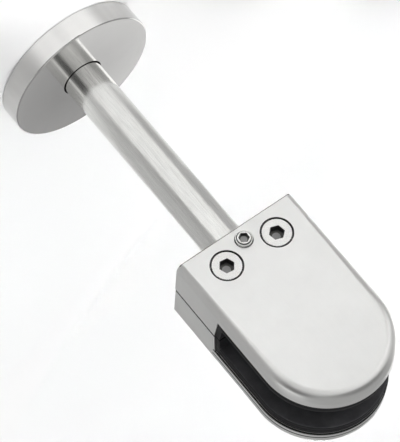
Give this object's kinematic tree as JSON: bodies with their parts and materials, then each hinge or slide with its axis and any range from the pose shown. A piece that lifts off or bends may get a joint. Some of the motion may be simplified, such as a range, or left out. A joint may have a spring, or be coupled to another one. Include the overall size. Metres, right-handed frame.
{
  "type": "glass panel clamp",
  "caption": "D-shaped two-jaw clamp for a glass panel edge, on a round stem with a wall flange and a loose cover rosette.",
  "frame": {"origin": "centre of the flange's wall face, on the stem's axis", "axes": "+Z out of the wall along the stem to the jaws, -Y towards the jaw with the screw heads, X across the clamp"},
  "size_m": [0.047, 0.047, 0.1381],
  "materials": {
    "jaw_steel": "satin stainless steel, fine brushed faces",
    "stem_steel": "satin stainless steel, ground round the stem",
    "rosette_steel": "satin stainless steel, smooth face with a turned rim",
    "plate_steel": "turned stainless steel",
    "screw_steel": "plain stainless steel screws",
    "rubber": "black moulded rubber, semi-matte"
  },
  "bodies": {
    "base": {"base_plate": "plate_steel", "stem_screw": "screw_steel", "stem": "stem_steel"},
    "rosette": {"cover_rosette": "rosette_steel", "seal_ring": "rubber"},
    "head": {"rear_jaw": "jaw_steel", "rear_gasket": "rubber"},
    "front": {"front_jaw": "jaw_steel", "front_gasket": "rubber"},
    "left_screw": {"clamp_screw_left": "screw_steel"},
    "right_screw": {"clamp_screw_right": "screw_steel"},
    "lock_screw": {"grub_screw": "screw_steel"}
  },
  "joints": [
    {"name": "rosette_slide", "type": "slide", "parent": "base", "child": "rosette", "axis": [0, 0, 1], "range_m": [0, 0.07]},
    {"name": "head_turn", "type": "hinge", "parent": "base", "child": "head", "pos_m": [0, 0, 0.085], "axis": [0, 0, 1], "continuous": true},
    {"name": "jaw_slide", "type": "slide", "parent": "head", "child": "front", "axis": [0, -1, 0], "range_m": [0, 0.003]},
    {"name": "left_screw_turn", "type": "hinge", "parent": "front", "child": "left_screw", "pos_m": [-0.00875, -0.01, 0.086], "axis": [0, -1, 0], "range_deg": [0, 1350]},
    {"name": "right_screw_turn", "type": "hinge", "parent": "front", "child": "right_screw", "pos_m": [0.00875, -0.01, 0.086], "axis": [0, -1, 0], "range_deg": [0, 1350]},
    {"name": "lock_screw_slide", "type": "slide", "parent": "front", "child": "lock_screw", "axis": [0, -1, 0], "range_m": [0, 0.0016]}
  ],
  "couplings": [
    {"joint": "left_screw_turn", "follows": "jaw_slide", "rad_per_m": 7854},
    {"joint": "right_screw_turn", "follows": "jaw_slide", "rad_per_m": 7854}
  ]
}
